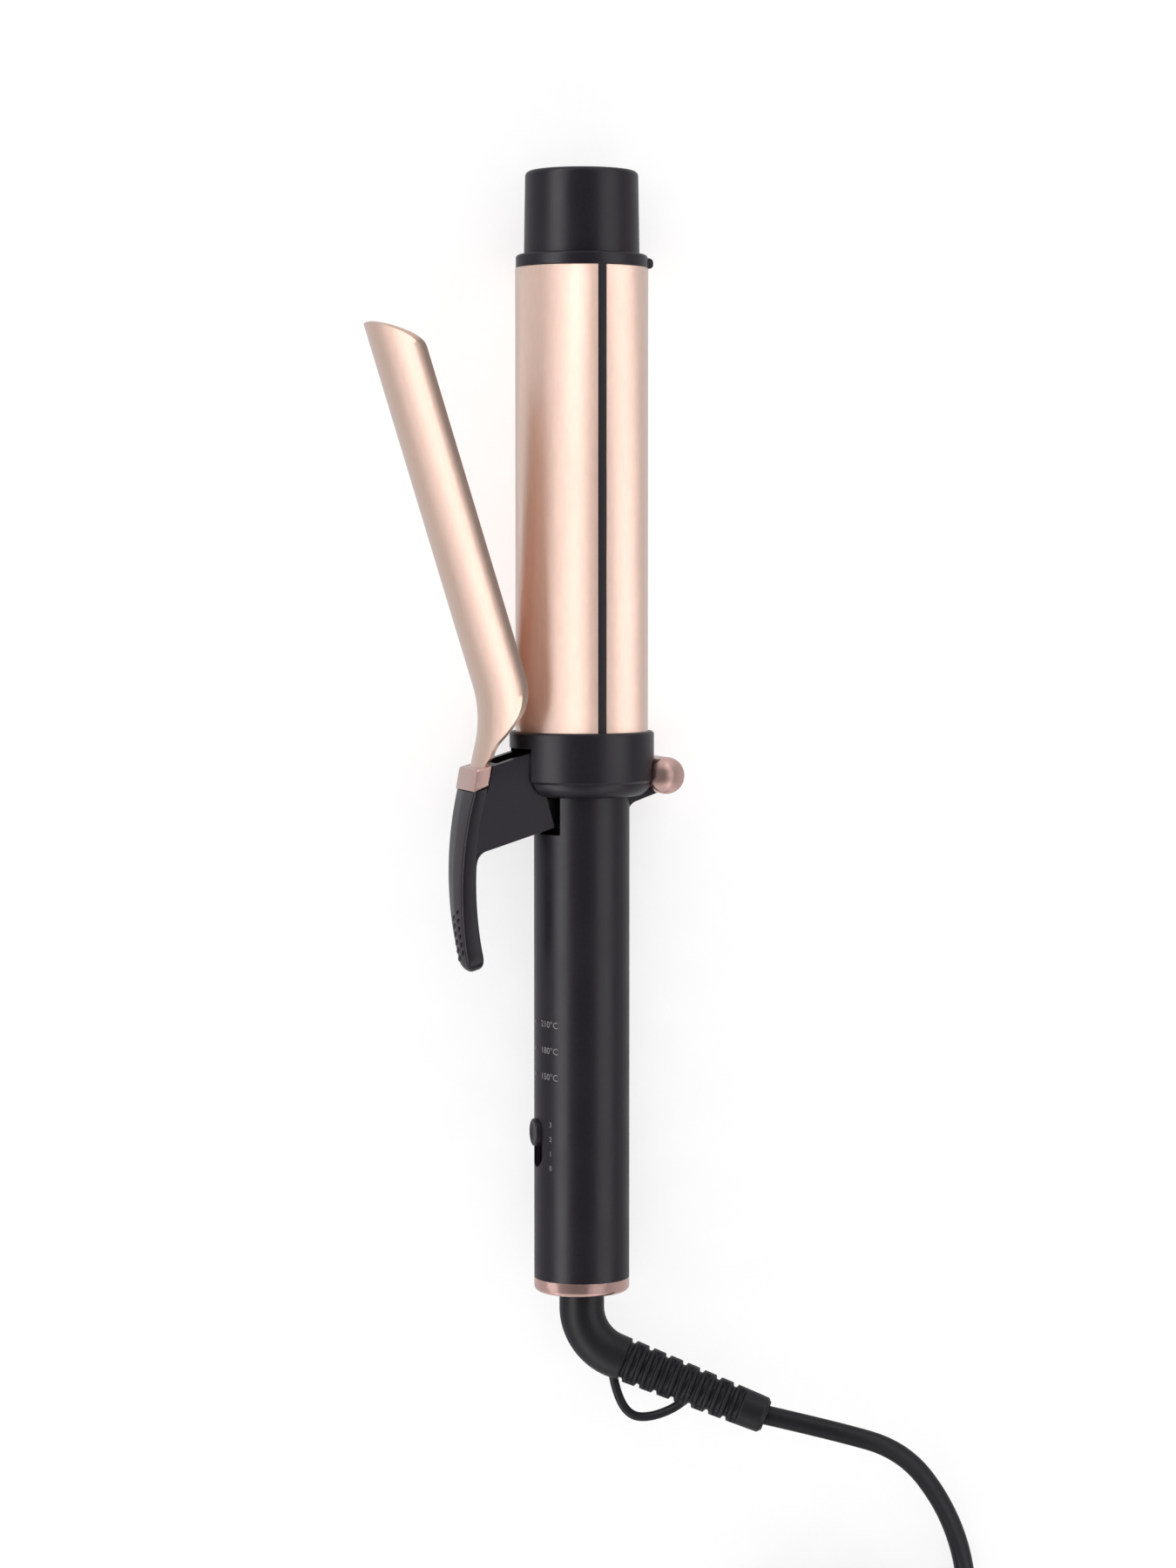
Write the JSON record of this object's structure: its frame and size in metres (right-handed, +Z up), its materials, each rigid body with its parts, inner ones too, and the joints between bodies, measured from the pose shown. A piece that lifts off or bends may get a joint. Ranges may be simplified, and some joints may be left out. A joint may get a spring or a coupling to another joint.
{
  "type": "curling iron",
  "caption": "Curling iron on its side: sprung clamp held open, round barrel, stand bar, slide switch, swivel cord with hanging loop, coiled lead and plug.",
  "frame": {"origin": "table level under the centre of the iron's own box, without its cord", "axes": "+Y along the barrel towards the cool tip, +Z up from the table, +X away from the clamp, towards the stand bar"},
  "size_m": [0.1777, 0.5021, 0.0527],
  "materials": {
    "barrel_coat": "satin champagne coat",
    "blade_coat": "satin champagne coat on spring steel",
    "rose_metal": "polished rose-gold plate",
    "black_plastic": "fine matte",
    "inner_plastic": "natural high-temperature plastic",
    "black_rubber": "matte",
    "strap": "woven strap",
    "spreader_metal": "mill finish",
    "heater_ceramic": "dark ceramic",
    "brass": "plain",
    "film": "amber insulating film",
    "steel": "plain",
    "plug_metal": "nickel plate",
    "board_green": "solder resist",
    "parts_grey": "moulded",
    "wire_cover": "silicone cover",
    "light_clear": "clear"
  },
  "bodies": {
    "iron": {"barrel_front_shell": "barrel_coat", "barrel_rear_shell": "barrel_coat", "seam_strips": "black_plastic", "tip_ring": "black_plastic", "cool_tip": "black_plastic", "front_heat_spreader": "spreader_metal", "rear_heat_spreader": "spreader_metal", "heater_plates": "heater_ceramic", "heater_electrodes": "brass", "heater_insulation": "film", "thermal_fuse": "parts_grey", "temperature_sensor": "parts_grey", "barrel_base": "inner_plastic", "heater_leads": "wire_cover", "handle_housing": "black_plastic", "hinge_pin": "steel", "stand_bar": "rose_metal", "stand_screw": "steel", "chassis": "inner_plastic", "circuit_board": "board_green", "board_screws": "steel", "power_parts": "parts_grey", "slide_switch": "inner_plastic", "indicator_leds": "light_clear", "light_pipes": "light_clear", "tail_ring": "rose_metal", "swivel_socket": "black_plastic", "swivel_contacts": "brass", "mains_wires": "wire_cover", "clamp_spring": "steel"},
    "clamp": {"clamp_blade": "blade_coat", "clamp_ferrule": "rose_metal", "clamp_lever": "black_plastic", "clamp_rivets": "steel"},
    "temperature_slider": {"slider_knob": "black_plastic", "slider_shutter": "black_plastic"},
    "cord_swivel": {"swivel_spindle": "black_plastic", "slip_rings": "brass", "swivel_clip": "steel", "strain_relief": "black_rubber", "hang_loop": "black_rubber", "cord_lead": "black_rubber", "cord_coil": "black_rubber", "cord_tie": "strap", "cord_tail": "black_rubber", "plug_body": "black_rubber", "plug_pins": "plug_metal"}
  },
  "joints": [
    {"name": "clamp_hinge", "type": "hinge", "parent": "iron", "child": "clamp", "pos_m": [-0.012, -0.00184, 0.02569], "axis": [0.309, 0, 0.9511], "range_deg": [-17.3, 12], "stiffness_Nm_per_rad": 0.4},
    {"name": "temperature_slide", "type": "slide", "parent": "iron", "child": "temperature_slider", "axis": [0, -1, 0], "range_m": [0, 0.006]},
    {"name": "cord_swivel_turn", "type": "hinge", "parent": "iron", "child": "cord_swivel", "pos_m": [0.00321, -0.14064, 0.02075], "axis": [0, -1, 0], "continuous": true}
  ]
}
